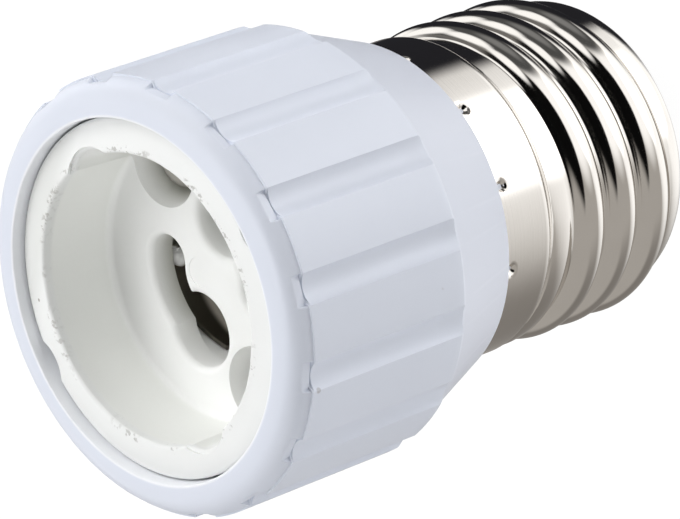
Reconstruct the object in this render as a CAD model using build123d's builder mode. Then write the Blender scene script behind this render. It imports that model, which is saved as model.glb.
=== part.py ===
import os
from math import asin, atan2, cos, radians, sin, tan

from build123d import *

# Lamp socket adapter: a screw cap at the bottom, a twist-lock socket for a two-pin lamp at the top.
# Millimetres. +Z runs up the axis, from the tip of the centre contact to the mouth of the socket.
# +X runs through the entry hole of the first keyhole.

# Housing, lengths measured along the axis
barrel_length = 17.4
collar_length = 8.0
front_band_length = 1.6
spigot_length = 5.0

# Housing, across the axis
barrel_diameter = 34.4
mouth_bore_diameter = 28.4
collar_overhang = 0.95
rim_flat = 0.4
rim_start_slope = 8.0
parting_step = 0.15
housing_wall = 1.8
spigot_wall = 1.65

# Flutes of the barrel and the shallow notches that carry them over the front rim
flute_count = 16
flute_floor_width = 1.1
flute_top_width = 2.5
flute_depth = 0.45
rim_notch_depth = 0.5

# Ceramic socket
ceramic_clearance = 0.15
rim_recess = 0.87
cup_diameter = 22.7
cup_depth = 6.53
cup_floor_round = 0.5
slot_plate_thickness = 2.3
chamber_depth = 6.3
ceramic_outer_round = 0.3
ceramic_inner_round = 0.3

# Keyholes for the two lamp pins
pin_spacing = 10.0
entry_hole_diameter = 5.94
slot_width = 3.6
slot_sweep = 75.0
chamber_width = 6.2

# Fixing screws of the ceramic, in pockets beside the cup
screw_circle_diameter = 18.3
screw_angle = 50.0
pocket_diameter = 5.8
pit_top_diameter = 6.6
pit_bottom_diameter = 4.9
pit_depth = 3.0
screw_head_diameter = 4.4
screw_head_height = 1.6
screw_shank_diameter = 2.6
screw_hole_clearance = 0.3
screw_bite_clearance = 0.05
screw_recess_width = 0.7
screw_recess_length = 2.4
screw_recess_depth = 0.8
screw_head_round = 0.6
screw_tip_gap = 1.0
boss_diameter = 5.4
boss_length = 8.0
boss_rib_width = 2.4

# Keyways that stop the ceramic turning
keyway_angle = 142.6
keyway_width = 3.9
keyway_depth = 0.95
key_length = 13.4
key_clearance = 0.15

# Backing plate and contact clips behind the ceramic
plate_thickness = 1.0
plate_clearance = 0.4
clip_thickness = 0.4
clip_pad_diameter = 6.0
clip_leaf_gap = 0.1
clip_leaf_sweep = 60.0
clip_curl_radius = 0.7
clip_curl_turn = 120.0
clip_top_gap = 0.4
tail_width = 1.6
tail_edge = 0.15
tail_length = 4.6
tail_slot_clearance = 0.3

# Screw cap, a rolled sheet shell
cap_length = 22.4
cap_neck_diameter = 25.8
neck_length = 5.4
neck_taper_length = 1.0
sheet_thickness = 0.3
cap_fit_clearance = 0.05
thread_crest_diameter = 26.2
thread_root_diameter = 24.4
thread_pitch = 3.629
thread_ridge_share = 0.92
thread_turns = 3.0
thread_fade_turns = 0.3
thread_phase_angle = 185.0
thread_root_sink = 0.03
thread_root_bury = 0.4
thread_fade_margin = 0.15
thread_top_gap = 1.6
cap_end_round = 2.4
cap_mouth_diameter = 17.2
crimp_count = 12
crimp_angle = 10.0
crimp_width = 0.8
crimp_depth = 0.45
crimp_height = 1.4

# Insulator and centre contact at the end of the cap
insulator_height = 4.2
insulator_tip_diameter = 11.2
insulator_disc_thickness = 2.0
insulator_clearance = 0.1
contact_diameter = 9.6
contact_flat_diameter = 6.0
contact_edge = 0.5
contact_height = 1.1
contact_shank_diameter = 2.6
contact_flare_diameter = 4.4
contact_flare_thickness = 0.4
contact_bore_floor = 1.0

# Leads and their solder joints
core_diameter = 0.8
jacket_diameter = 1.7
bore_clearance = 0.05
bare_length = 2.6
strip_gap = 0.4
lead_bend = 8.0
lead_drop = 6.2
live_lead_reach = 9.0
neutral_lead_drop = 11.5
neutral_lead_reach = 6.0
neutral_tail_length = 4.5
solder_diameter = 1.8
solder_length = 1.8
solder_inset = 0.4
solder_film = 0.1

# Levels along the axis
cap_end_z = insulator_height
collar_end_z = cap_end_z + cap_length
shoulder_z = collar_end_z + collar_length
mouth_z = shoulder_z + barrel_length
band_z = mouth_z - front_band_length
ceramic_rim_z = mouth_z - rim_recess
cup_floor_z = ceramic_rim_z - cup_depth
chamber_roof_z = cup_floor_z - slot_plate_thickness
ceramic_base_z = chamber_roof_z - chamber_depth
seat_z = ceramic_base_z - plate_thickness
pit_floor_z = cup_floor_z - pit_depth
spigot_end_z = collar_end_z - spigot_length
neck_end_z = collar_end_z - neck_length
root_top_z = neck_end_z - neck_taper_length
crimp_z = collar_end_z - crimp_height
cap_inner_end_z = cap_end_z + sheet_thickness
insulator_top_z = cap_inner_end_z + insulator_disc_thickness
screw_length = pit_floor_z - seat_z + boss_length - screw_tip_gap

# Radii
barrel_radius = barrel_diameter / 2
bore_radius = mouth_bore_diameter / 2
base_radius = barrel_radius - flute_depth
neck_radius = cap_neck_diameter / 2
collar_end_radius = neck_radius + collar_overhang
neck_inner_radius = neck_radius - sheet_thickness
mid_sheet_radius = neck_radius - sheet_thickness / 2
spigot_radius = neck_inner_radius - cap_fit_clearance
cavity_radius = spigot_radius - spigot_wall
seat_radius = bore_radius - housing_wall
ceramic_radius = bore_radius - ceramic_clearance
cup_radius = cup_diameter / 2
pin_radius = pin_spacing / 2
root_radius = thread_root_diameter / 2
crest_height = (thread_crest_diameter - thread_root_diameter) / 2
shank_radius = screw_shank_diameter / 2
core_radius = core_diameter / 2
jacket_radius = jacket_diameter / 2
contact_shank_radius = contact_shank_diameter / 2
tail_radius = pin_radius + (clip_pad_diameter - clip_thickness) / 2 - tail_edge
leaf_radius = pin_radius + chamber_width / 2 - clip_leaf_gap - clip_thickness / 2

# Keyways are shallow round grooves: the circle that cuts one stands mostly outside the ceramic
keyway_radius = (keyway_width**2 / 4 + keyway_depth**2) / (2 * keyway_depth)
keyway_center = ceramic_radius - keyway_depth + keyway_radius


def polar(radius, angle):
    """A point in the XY plane, from its radius and its angle in degrees."""
    return (radius * cos(radians(angle)), radius * sin(radians(angle)))


def pin_arc():
    """The path of a lamp pin as the lamp is twisted in, clockwise seen from the mouth."""
    return CenterArc((0, 0), pin_radius, 0, -slot_sweep)


def crimp_places(radius):
    """The ring of crimps on the cap's neck, each place with its X away from the axis."""
    ring = PolarLocations(radius, crimp_count, start_angle=crimp_angle)
    return Locations(*[Location((0, 0, crimp_z)) * place for place in ring])


def crimp_bump(clearance, mode):
    """The inside of one crimp, a square bump from the middle of the sheet towards the axis."""
    bump_width = crimp_width + 2 * (sheet_thickness + clearance)
    Box(
        crimp_depth + sheet_thickness / 2 + clearance,
        bump_width,
        bump_width,
        align=(Align.MAX, Align.CENTER, Align.CENTER),
        mode=mode,
    )


screw_places = [polar(screw_circle_diameter / 2, screw_angle + turn) for turn in (0, 180)]
key_places = [polar(keyway_center, keyway_angle + turn) for turn in (0, 180)]

# The rim is an arc that leaves the flat at a small slope and meets the parting line at a steep one
rim_start = Vector(bore_radius + rim_flat, mouth_z)
rim_end = Vector(barrel_radius - parting_step, band_z)
rim_tangent = (cos(radians(rim_start_slope)), -sin(radians(rim_start_slope)))

# Cavity of the housing, with room left for the bosses of the fixing screws and the ribs behind them
with BuildPart() as cavity:
    with BuildSketch(Plane.XZ):
        with BuildLine():
            Polyline(
                (0, spigot_end_z),
                (cavity_radius, spigot_end_z),
                (cavity_radius, collar_end_z),
                (seat_radius, seat_z),
                (bore_radius, seat_z),
                (bore_radius, mouth_z),
                (0, mouth_z),
                close=True,
            )
        make_face()
    revolve(axis=Axis.Z)
    with BuildSketch(Plane.XY.offset(seat_z)):
        with Locations(*screw_places):
            Circle(boss_diameter / 2)
        with PolarLocations(screw_circle_diameter / 2, 2, start_angle=screw_angle):
            Rectangle(bore_radius, boss_rib_width, align=(Align.MIN, Align.CENTER))
    extrude(amount=-boss_length, mode=Mode.SUBTRACT)

# Housing: one moulding with a fluted barrel, a tapered collar and a spigot for the cap
with BuildPart() as housing:
    with BuildSketch(Plane.XZ):
        with BuildLine():
            Line((0, mouth_z), rim_start)
            TangentArc(rim_start, rim_end, tangent=rim_tangent)
            Polyline(
                rim_end,
                (barrel_radius, band_z),
                (barrel_radius, shoulder_z),
                (base_radius, shoulder_z),
                (collar_end_radius, collar_end_z),
                (spigot_radius, collar_end_z),
                (spigot_radius, spigot_end_z),
                (0, spigot_end_z),
                (0, mouth_z),
            )
        make_face()
    revolve(axis=Axis.Z)
    add(cavity.part, mode=Mode.SUBTRACT)
    # Each flute is a shallow channel, open at the shoulder and stopped at the front band
    with BuildSketch(Plane.XY.offset(shoulder_z)):
        with PolarLocations(barrel_radius, flute_count, start_angle=180 / flute_count):
            Polygon(
                (-flute_depth, -flute_floor_width / 2),
                (0, -flute_top_width / 2),
                (flute_depth, -flute_top_width / 2),
                (flute_depth, flute_top_width / 2),
                (0, flute_top_width / 2),
                (-flute_depth, flute_floor_width / 2),
                align=None,
            )
    extrude(amount=barrel_length - front_band_length, mode=Mode.SUBTRACT)
    # Flat notches carry the flutes over the rounded rim
    with BuildSketch(Plane.XY.offset(band_z)):
        with PolarLocations(barrel_radius, flute_count, start_angle=180 / flute_count):
            Rectangle(2 * rim_notch_depth, flute_top_width)
    extrude(amount=front_band_length, mode=Mode.SUBTRACT)
    # Screw holes down the bosses
    with BuildSketch(Plane.XY.offset(seat_z)):
        with Locations(*screw_places):
            Circle(shank_radius + screw_bite_clearance)
    extrude(amount=-boss_length, mode=Mode.SUBTRACT)
    # Keys on the bore stop the ceramic turning
    with BuildSketch(Plane.XY.offset(ceramic_base_z)):
        with Locations(*key_places):
            Circle(keyway_radius - key_clearance)
        Circle((bore_radius + barrel_radius) / 2, mode=Mode.INTERSECT)
    extrude(amount=key_length)
    # Dents that the crimps of the cap press into the spigot
    with crimp_places(mid_sheet_radius):
        crimp_bump(cap_fit_clearance, Mode.SUBTRACT)
housing.part.label = "fluted_housing"

# Ceramic socket: a cup with two keyholes, two screw pockets and two keyways
with BuildPart() as ceramic:
    with BuildSketch(Plane.XZ):
        with BuildLine():
            rim_outer = ceramic_radius - ceramic_outer_round
            rim_inner = cup_radius + ceramic_inner_round
            wall_foot = cup_radius - cup_floor_round
            outer_edge_z = ceramic_rim_z - ceramic_outer_round
            inner_edge_z = ceramic_rim_z - ceramic_inner_round
            wall_foot_z = cup_floor_z + cup_floor_round
            Polyline((0, ceramic_base_z), (ceramic_radius, ceramic_base_z), (ceramic_radius, outer_edge_z))
            RadiusArc((ceramic_radius, outer_edge_z), (rim_outer, ceramic_rim_z), -ceramic_outer_round)
            Line((rim_outer, ceramic_rim_z), (rim_inner, ceramic_rim_z))
            RadiusArc((rim_inner, ceramic_rim_z), (cup_radius, inner_edge_z), -ceramic_inner_round)
            Line((cup_radius, inner_edge_z), (cup_radius, wall_foot_z))
            RadiusArc((cup_radius, wall_foot_z), (wall_foot, cup_floor_z), cup_floor_round)
            Polyline((wall_foot, cup_floor_z), (0, cup_floor_z), (0, ceramic_base_z))
        make_face()
    revolve(axis=Axis.Z)
    # Driver pockets beside the cup, each ending in a tapered pit for the screw head
    with BuildSketch(Plane.XY.offset(cup_floor_z)):
        with Locations(*screw_places):
            Circle(pocket_diameter / 2)
    extrude(amount=cup_depth, mode=Mode.SUBTRACT)
    for place in screw_places:
        with BuildSketch(Plane.XY.offset(cup_floor_z)):
            with Locations(place):
                Circle(pit_top_diameter / 2)
        with BuildSketch(Plane.XY.offset(pit_floor_z)):
            with Locations(place):
                Circle(pit_bottom_diameter / 2)
        loft(mode=Mode.SUBTRACT)
    with BuildSketch(Plane.XY.offset(pit_floor_z)):
        with Locations(*screw_places):
            Circle(shank_radius + screw_hole_clearance)
    extrude(until=Until.LAST, target=ceramic.part, mode=Mode.SUBTRACT, dir=(0, 0, -1))
    # Keyholes through the floor, and the chambers under them where the pin heads turn
    with BuildSketch(Plane.XY.offset(chamber_roof_z)):
        with PolarLocations(0, 2):
            SlotArc(pin_arc(), slot_width)
        with PolarLocations(pin_radius, 2):
            Circle(entry_hole_diameter / 2)
    extrude(amount=slot_plate_thickness, mode=Mode.SUBTRACT)
    with BuildSketch(Plane.XY.offset(ceramic_base_z)):
        with PolarLocations(0, 2):
            SlotArc(pin_arc(), chamber_width)
    extrude(amount=chamber_depth, mode=Mode.SUBTRACT)
    # Keyways down the outside
    with BuildSketch(Plane.XY.offset(ceramic_base_z)):
        with Locations(*key_places):
            Circle(keyway_radius)
    extrude(amount=ceramic_rim_z - ceramic_base_z, mode=Mode.SUBTRACT)
ceramic.part.label = "ceramic_socket"

# Backing plate: an insulating disc that shuts the chambers from behind
with BuildPart() as backing_plate:
    with BuildSketch(Plane.XY.offset(seat_z)):
        Circle(bore_radius - plate_clearance)
        with Locations(*key_places):
            Circle(keyway_radius, mode=Mode.SUBTRACT)
        with Locations(*screw_places):
            Circle(shank_radius + screw_hole_clearance, mode=Mode.SUBTRACT)
        with PolarLocations(tail_radius, 2):
            Rectangle(
                clip_thickness + 2 * tail_slot_clearance,
                tail_width + 2 * tail_slot_clearance,
                mode=Mode.SUBTRACT,
            )
    extrude(amount=plate_thickness)
backing_plate.part.label = "backing_plate"


def contact_clip(turn):
    """A bent strip: a pad under the entry hole, a spring leaf round the chamber wall and a solder tail."""
    pad_plane = Plane.XY.offset(ceramic_base_z).rotated((0, 0, turn))
    with BuildPart() as clip:
        with BuildSketch(pad_plane):
            with Locations((pin_radius, 0)):
                Circle(clip_pad_diameter / 2)
        extrude(amount=clip_thickness)
        with BuildSketch(pad_plane):
            with BuildLine():
                leaf = CenterArc((0, 0), leaf_radius, 0, -clip_leaf_sweep)
                JernArc(leaf @ 1, leaf % 1, clip_curl_radius, -clip_curl_turn)
            trace(line_width=clip_thickness)
        extrude(amount=chamber_depth - clip_top_gap)
        with BuildSketch(pad_plane.offset(-tail_length)):
            with Locations((tail_radius, 0)):
                Rectangle(clip_thickness, tail_width)
        extrude(amount=tail_length + clip_thickness)
    return clip


live_clip = contact_clip(0)
live_clip.part.label = "live_contact_clip"
neutral_clip = contact_clip(180)
neutral_clip.part.label = "neutral_contact_clip"

# Fixing screws: pan heads with a cross recess, driven into the bosses of the housing
with BuildPart() as screws:
    with BuildSketch(Plane.XY.offset(pit_floor_z)):
        with Locations(*screw_places):
            Circle(screw_head_diameter / 2)
    extrude(amount=screw_head_height)
    fillet(screws.edges().filter_by(GeomType.CIRCLE).group_by(Axis.Z)[-1], screw_head_round)
    with BuildSketch(Plane.XY.offset(pit_floor_z)):
        with Locations(*screw_places):
            Circle(shank_radius)
    extrude(amount=-screw_length)
    with BuildSketch(Plane.XY.offset(pit_floor_z + screw_head_height)):
        with Locations(*screw_places):
            Rectangle(screw_recess_length, screw_recess_width)
            Rectangle(screw_recess_width, screw_recess_length)
    extrude(amount=-screw_recess_depth, mode=Mode.SUBTRACT)
screws.part.label = "fixing_screws"


def thread_section(plane, depth, sink):
    """The knuckle profile of the thread on a plane across its path, moved in by depth and sunk by sink.

    The flank is two equal arcs, tangent where they meet, so moving the sheet in keeps their centres.
    """
    half_width = thread_ridge_share * thread_pitch / 2
    ridge_height = crest_height + thread_root_sink
    knuckle = (half_width**2 + ridge_height**2) / (4 * ridge_height)
    foot_arc = knuckle + depth
    sink = sink + thread_root_sink
    join_x = knuckle + foot_arc * (ridge_height - 2 * knuckle) / (2 * knuckle) - sink
    join_y = foot_arc * half_width / (2 * knuckle) - half_width
    half_turn = asin(half_width / (2 * knuckle)) / 2
    foot_x = -depth - sink
    middle_x = knuckle - foot_arc * cos(half_turn) - sink
    middle_y = foot_arc * sin(half_turn) - half_width
    with BuildSketch(plane) as section:
        with BuildLine():
            ThreePointArc((foot_x, -half_width), (middle_x, middle_y), (join_x, join_y))
            ThreePointArc((join_x, join_y), (ridge_height - depth - sink, 0), (join_x, -join_y))
            ThreePointArc((join_x, -join_y), (middle_x, -middle_y), (foot_x, half_width))
            Polyline(
                (foot_x, half_width),
                (foot_x - thread_root_bury, half_width),
                (foot_x - thread_root_bury, -half_width),
                (foot_x, -half_width),
            )
        make_face()
    return section.sketch


def thread_ridge(depth):
    """The helical ridge of the thread, at the outer face of the sheet moved in by depth.

    At each end it sinks into the wall over a part of a turn, as a rolled thread fades out.
    """
    ridge_sunk = crest_height + thread_fade_margin
    start_z = root_top_z - thread_top_gap - thread_turns * thread_pitch
    spans = [
        (-thread_fade_turns, thread_fade_turns, ridge_sunk, 0),
        (0, thread_turns, 0, 0),
        (thread_turns, thread_fade_turns, 0, ridge_sunk),
    ]
    with BuildPart() as ridge:
        for first_turn, turns, first_sink, last_sink in spans:
            foot = (0, 0, start_z + first_turn * thread_pitch)
            coil = Edge.make_helix(thread_pitch, turns * thread_pitch, root_radius, center=foot)
            path = coil.rotate(Axis.Z, thread_phase_angle + 360 * first_turn)
            sections = []
            for place, sink in ((0, first_sink), (1, last_sink)):
                point = path @ place
                across = Plane(point, x_dir=(point.X, point.Y, 0), z_dir=path % place)
                sections.append(thread_section(across, depth, sink))
            sweep(sections=sections, path=path, multisection=True, is_frenet=True)
    return ridge.part


def cap_blank(depth):
    """The turned outline of the cap without its thread, its outer face moved in by depth."""
    with BuildPart() as blank:
        with BuildSketch(Plane.XZ):
            with BuildLine():
                end_flat = root_radius - cap_end_round
                Line((0, cap_end_z + depth), (end_flat, cap_end_z + depth))
                RadiusArc(
                    (end_flat, cap_end_z + depth),
                    (root_radius - depth, cap_end_z + cap_end_round),
                    depth - cap_end_round,
                )
                Polyline(
                    (root_radius - depth, cap_end_z + cap_end_round),
                    (root_radius - depth, root_top_z),
                    (neck_radius - depth, neck_end_z),
                    (neck_radius - depth, collar_end_z),
                    (0, collar_end_z),
                    (0, cap_end_z + depth),
                )
            make_face()
        revolve(axis=Axis.Z)
    return blank.part


# Screw cap: thin sheet with a rolled thread, crimped to the spigot
with BuildPart() as cap_cavity:
    add(cap_blank(sheet_thickness))
    add(thread_ridge(sheet_thickness))

with BuildPart() as screw_cap:
    add(cap_blank(0))
    add(thread_ridge(0))
    add(cap_cavity.part, mode=Mode.SUBTRACT)
    with BuildSketch(Plane.XY.offset(cap_end_z)):
        Circle(cap_mouth_diameter / 2)
    extrude(amount=sheet_thickness, mode=Mode.SUBTRACT)
    with crimp_places(mid_sheet_radius):
        crimp_bump(0, Mode.ADD)
    with crimp_places(neck_radius):
        Box(2 * crimp_depth, crimp_width, crimp_width, mode=Mode.SUBTRACT)
screw_cap.part.label = "screw_cap"

# Insulator: a disc inside the end of the cap, with a cone that carries the centre contact
with BuildPart() as insulator:
    with BuildSketch(Plane.XZ):
        with BuildLine():
            Polyline(
                (contact_shank_radius + insulator_clearance, contact_height),
                (insulator_tip_diameter / 2, contact_height),
                (cap_mouth_diameter / 2 - insulator_clearance, cap_end_z),
                (cap_mouth_diameter / 2 - insulator_clearance, cap_inner_end_z),
                (root_radius - cap_end_round, cap_inner_end_z),
                (root_radius - cap_end_round, insulator_top_z),
                (contact_shank_radius + insulator_clearance, insulator_top_z),
                close=True,
            )
        make_face()
    revolve(axis=Axis.Z)
insulator.part.label = "cap_insulator"

# Centre contact: a button with a hollow shank, flared over the insulator
with BuildPart() as contact:
    with BuildSketch(Plane.XZ):
        with BuildLine():
            Line((0, 0), (contact_flat_diameter / 2, 0))
            TangentArc(
                (contact_flat_diameter / 2, 0),
                (contact_diameter / 2, contact_edge),
                tangent=(1, 0),
            )
            Polyline(
                (contact_diameter / 2, contact_edge),
                (contact_diameter / 2, contact_height),
                (contact_shank_radius, contact_height),
                (contact_shank_radius, insulator_top_z),
                (contact_flare_diameter / 2, insulator_top_z),
                (contact_flare_diameter / 2, insulator_top_z + contact_flare_thickness),
                (core_radius + bore_clearance, insulator_top_z + contact_flare_thickness),
                (core_radius + bore_clearance, contact_bore_floor),
                (0, contact_bore_floor),
                (0, 0),
            )
        make_face()
    revolve(axis=Axis.Z)
contact.part.label = "centre_contact"

# Routes of the two leads, from the solder tails into the cap
lead_x = tail_radius - clip_thickness / 2 - solder_film - core_radius
tail_end_z = ceramic_base_z - tail_length
core_top_z = tail_end_z + bare_length
jacket_top_z = tail_end_z - strip_gap
wall_x = root_radius - sheet_thickness - solder_film - core_radius
live_bend_z = core_top_z - lead_drop
live_route = [
    (lead_x, 0, core_top_z),
    (lead_x, 0, live_bend_z),
    (0, 0, live_bend_z - live_lead_reach),
    (0, 0, contact_bore_floor + bore_clearance),
]
neutral_bend_z = core_top_z - neutral_lead_drop
neutral_route = [
    (-lead_x, 0, core_top_z),
    (-lead_x, 0, neutral_bend_z),
    (-wall_x, 0, neutral_bend_z - neutral_lead_reach),
    (-wall_x, 0, neutral_bend_z - neutral_lead_reach - neutral_tail_length),
]
live_jacket_route = [
    (lead_x, 0, jacket_top_z),
    *live_route[1:3],
    (0, 0, insulator_top_z + contact_flare_thickness + strip_gap),
]
# The neutral jacket stops where its core starts to bend onto the wall of the cap
slant = Vector(wall_x - lead_x, neutral_lead_reach)
bend_take = lead_bend * tan(atan2(slant.X, slant.Y) / 2)
jacket_share = 1 - bend_take / slant.length
neutral_jacket_route = [
    (-lead_x, 0, jacket_top_z),
    neutral_route[1],
    (
        -lead_x - jacket_share * slant.X,
        0,
        neutral_bend_z - jacket_share * slant.Y,
    ),
]


def lead_tube(route, outer_radius, inner_radius):
    """A round wire or its jacket along a route of straight runs joined by tangent arcs."""
    with BuildPart() as tube:
        with BuildLine() as path:
            FilletPolyline(*route, radius=lead_bend)
        with BuildSketch(Plane(path.line @ 0, z_dir=path.line % 0)):
            Circle(outer_radius)
            if inner_radius:
                Circle(inner_radius, mode=Mode.SUBTRACT)
        sweep()
    return tube


live_core = lead_tube(live_route, core_radius, 0)
live_core.part.label = "live_lead_core"
live_jacket = lead_tube(live_jacket_route, jacket_radius, core_radius)
live_jacket.part.label = "live_lead_jacket"
neutral_core = lead_tube(neutral_route, core_radius, 0)
neutral_core.part.label = "neutral_lead_core"
neutral_jacket = lead_tube(neutral_jacket_route, jacket_radius, core_radius)
neutral_jacket.part.label = "neutral_lead_jacket"

# Solder joints: one on each tail, and one that holds the neutral core to the inside of the cap
with BuildPart() as solder:
    for side in (1, -1):
        with BuildSketch(Plane.XY.offset(tail_end_z + solder_inset)):
            with Locations((side * lead_x, 0)):
                Circle(solder_diameter / 2)
                Circle(core_radius, mode=Mode.SUBTRACT)
            with Locations((side * tail_radius, 0)):
                Rectangle(clip_thickness, solder_diameter, mode=Mode.SUBTRACT)
            with Locations((side * (tail_radius + solder_diameter / 2), 0)):
                Rectangle(solder_diameter, solder_diameter, mode=Mode.SUBTRACT)
        extrude(amount=solder_length)
    with BuildSketch(Plane.XY.offset(neutral_route[-1][2] + solder_inset)):
        with Locations((-wall_x, 0)):
            Circle(solder_diameter / 2)
            Circle(core_radius, mode=Mode.SUBTRACT)
        Circle(root_radius - sheet_thickness, mode=Mode.INTERSECT)
    extrude(amount=solder_length)
solder.part.label = "solder_joints"

os.makedirs("parts", exist_ok=True)
export_step(housing.part, "parts/fluted_housing.step")
export_step(ceramic.part, "parts/ceramic_socket.step")
export_step(backing_plate.part, "parts/backing_plate.step")
export_step(live_clip.part, "parts/live_contact_clip.step")
export_step(neutral_clip.part, "parts/neutral_contact_clip.step")
export_step(screws.part, "parts/fixing_screws.step")
export_step(screw_cap.part, "parts/screw_cap.step")
export_step(insulator.part, "parts/cap_insulator.step")
export_step(contact.part, "parts/centre_contact.step")
export_step(live_core.part, "parts/live_lead_core.step")
export_step(live_jacket.part, "parts/live_lead_jacket.step")
export_step(neutral_core.part, "parts/neutral_lead_core.step")
export_step(neutral_jacket.part, "parts/neutral_lead_jacket.step")
export_step(solder.part, "parts/solder_joints.step")
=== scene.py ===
# %% [markdown]
# A lamp adapter in three main pieces: a fluted white plastic housing, a white ceramic cup that takes a
# twist-lock lamp at the top, and a nickel-plated screw cap at the bottom. The packed part is loaded first as
# a fixed frame. Everything below is placed in that frame, with its origin at the tip of the centre contact
# and +Z up the axis to the mouth.

# %% Load the packed part
from math import atan2, cos, degrees, hypot, radians, sin, sqrt, tan

import bmesh
import bpy
from mathutils import Matrix, Vector, noise


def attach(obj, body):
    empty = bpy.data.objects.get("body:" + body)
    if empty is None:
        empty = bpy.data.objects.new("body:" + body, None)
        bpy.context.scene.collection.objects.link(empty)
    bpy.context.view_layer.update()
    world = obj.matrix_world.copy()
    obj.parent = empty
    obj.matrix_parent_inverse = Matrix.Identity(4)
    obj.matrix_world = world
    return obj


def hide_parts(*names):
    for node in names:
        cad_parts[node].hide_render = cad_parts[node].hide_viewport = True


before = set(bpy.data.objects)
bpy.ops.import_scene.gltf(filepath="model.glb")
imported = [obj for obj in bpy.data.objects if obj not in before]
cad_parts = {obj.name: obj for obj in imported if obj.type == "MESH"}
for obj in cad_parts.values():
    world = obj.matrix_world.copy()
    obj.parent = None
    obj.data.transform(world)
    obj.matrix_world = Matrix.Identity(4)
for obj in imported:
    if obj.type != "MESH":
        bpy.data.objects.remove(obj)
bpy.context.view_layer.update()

MM = 0.001
print("nodes in the frame:", sorted(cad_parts))

# %% [markdown]
# The photograph is taken from well above the mouth with a long lens, and the adapter lies tilted across the
# picture. A camera is easier to place by three directions than by angles: where it looks, what is to its
# right and what is up. They are the columns of its matrix.

# %% Camera
mouth = 52.0
camera_place = Vector((225.58, -228.83, 305.52)) * MM
looks = Vector((-0.5382, 0.5388, -0.6481)).normalized()
rightward = Vector((0.1865, -0.6738, -0.7150)).normalized()
upward = rightward.cross(looks).normalized()
rightward = looks.cross(upward)

camera_data = bpy.data.cameras.new("camera")
camera_data.sensor_fit = "HORIZONTAL"
camera_data.sensor_width = 36
camera_data.lens = 291.18
camera_data.clip_start = 0.01
camera = bpy.data.objects.new("camera", camera_data)
camera_turn = Matrix((rightward, upward, -looks)).transposed().to_4x4()
camera.matrix_world = Matrix.Translation(camera_place) @ camera_turn
bpy.context.scene.collection.objects.link(camera)
bpy.context.scene.camera = camera
print("camera distance to the mouth, mm:", round((camera_place / MM - Vector((0, 0, mouth))).length))

# %% [markdown]
# Every finish below is a small node tree. Writing nodes one by one is long, so one class wraps a socket:
# adding or multiplying two wrapped sockets adds the Math node that does it, and the method add makes any
# other node.

# %% A socket that takes part in sums
class Value:
    """A socket of a node tree. Its sums and products are Math nodes."""

    def __init__(self, tree, socket=None):
        self.tree = tree
        self.socket = socket

    def add(self, kind, settings=None, sockets=None, out=0):
        """Add a node: its settings first, then the values or links of its sockets."""
        node = self.tree.nodes.new(kind)
        for name, value in (settings or {}).items():
            setattr(node, name, value)
        for name, value in (sockets or {}).items():
            if isinstance(value, Value):
                self.tree.links.new(value.socket, node.inputs[name])
            else:
                node.inputs[name].default_value = value
        return Value(self.tree, node.outputs[out]) if node.outputs else None

    def maths(self, operation, *values):
        return self.add("ShaderNodeMath", {"operation": operation}, dict(enumerate(values)))

    def __add__(self, other):
        return self.maths("ADD", self, other)

    def __sub__(self, other):
        return self.maths("SUBTRACT", self, other)

    def __rsub__(self, other):
        return self.maths("SUBTRACT", other, self)

    def __mul__(self, other):
        return self.maths("MULTIPLY", self, other)

    def __truediv__(self, other):
        return self.maths("DIVIDE", self, other)

    def __pow__(self, other):
        return self.maths("POWER", self, other)

    __radd__ = __add__
    __rmul__ = __mul__

    def rise(self, low, high):
        """A mask that goes from 0 to 1 as this value goes from low to high."""
        sockets = {"Value": self, "From Min": low, "From Max": high}
        return self.add("ShaderNodeMapRange", {"interpolation_type": "SMOOTHSTEP"}, sockets)

    def mix(self, first, second):
        """A colour between two others, with this value as the share of the second."""
        return self.add("ShaderNodeMix", {"data_type": "RGBA"}, {0: self, 6: first, 7: second}, 2)


print("what a wrapped socket can do:", [name for name in vars(Value) if not name.startswith("_")])

# %% [markdown]
# The backdrop is white, but a white that lit the adapter from all sides would wash it out. So the world is
# white to the camera and gives almost no light of its own. Bright metal has no look of its own, it shows
# the studio around it. Real panels would leave hard edges on the cap, so the studio is painted into the
# world, where only mirrored rays see it. Each thing in it is a soft round patch about a direction, and the
# later ones cover the earlier ones.

# %% Painted studio
def grey(level):
    return (level, level, level, 1)


def direction(azimuth, elevation):
    level = cos(radians(elevation))
    return Vector((level * cos(radians(azimuth)), level * sin(radians(azimuth)), sin(radians(elevation))))


def patch(view, azimuth, elevation, inner, outer):
    """1 within an angle of a direction of the world, and 0 beyond a wider angle."""
    sockets = {0: view, 1: direction(azimuth, elevation)}
    near = view.add("ShaderNodeVectorMath", {"operation": "DOT_PRODUCT"}, sockets, "Value")
    return near.rise(cos(radians(outer)), cos(radians(inner)))


world = bpy.data.worlds.new("studio")
world.use_nodes = True
world.node_tree.nodes.clear()
view = Value(world.node_tree).add("ShaderNodeTexCoord", out="Generated")
upright = view.add("ShaderNodeSeparateXYZ", sockets={"Vector": view}, out="Z")
table_edge_low, table_edge_high = -43, -37
over_table = upright.rise(sin(radians(table_edge_low)), sin(radians(table_edge_high)))
under_table = 1 - over_table

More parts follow.
